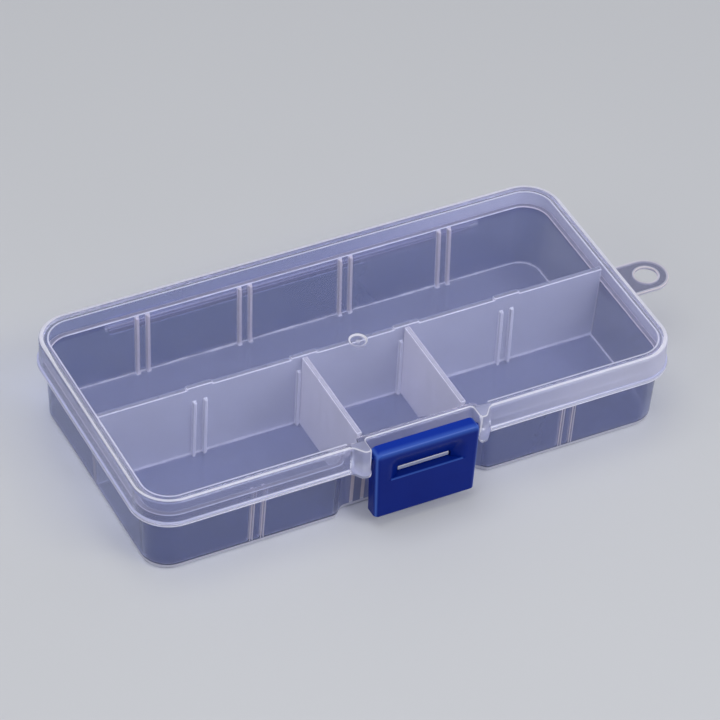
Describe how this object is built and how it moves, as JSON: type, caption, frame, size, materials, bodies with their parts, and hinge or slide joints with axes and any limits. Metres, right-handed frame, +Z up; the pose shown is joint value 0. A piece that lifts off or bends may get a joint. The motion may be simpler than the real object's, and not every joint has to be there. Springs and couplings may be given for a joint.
{
  "type": "compartment storage box",
  "caption": "Small flat clear plastic box with a partitioned tray, slide-in dividers, a film-hinged lid, a pivoting snap latch and a hanging eye.",
  "frame": {"origin": "middle of the tray's flat underside", "axes": "+X along the box's length towards the hanging tab, +Y from the latch to the hinge, +Z up"},
  "size_m": [0.1423, 0.0693, 0.0219],
  "materials": {
    "clear_plastic": "milky clear moulded polypropylene",
    "blue_plastic": "satin moulded polypropylene"
  },
  "bodies": {
    "tray": {"tray": "clear_plastic", "partition": "clear_plastic", "divider_left": "clear_plastic", "divider_right": "clear_plastic", "hang_tab": "clear_plastic", "hinge_film": "clear_plastic"},
    "lid": {"lid": "clear_plastic"},
    "latch": {"latch": "blue_plastic"}
  },
  "joints": [
    {"name": "lid_hinge", "type": "hinge", "parent": "tray", "child": "lid", "pos_m": [0, 0.0333, 0.0146], "axis": [-1, 0, 0], "range_deg": [0, 180], "deforming": ["hinge_film"]},
    {"name": "latch_pivot", "type": "hinge", "parent": "lid", "child": "latch", "pos_m": [0, -0.0333, 0.0186], "axis": [-1, 0, 0], "range_deg": [0, 110]}
  ]
}
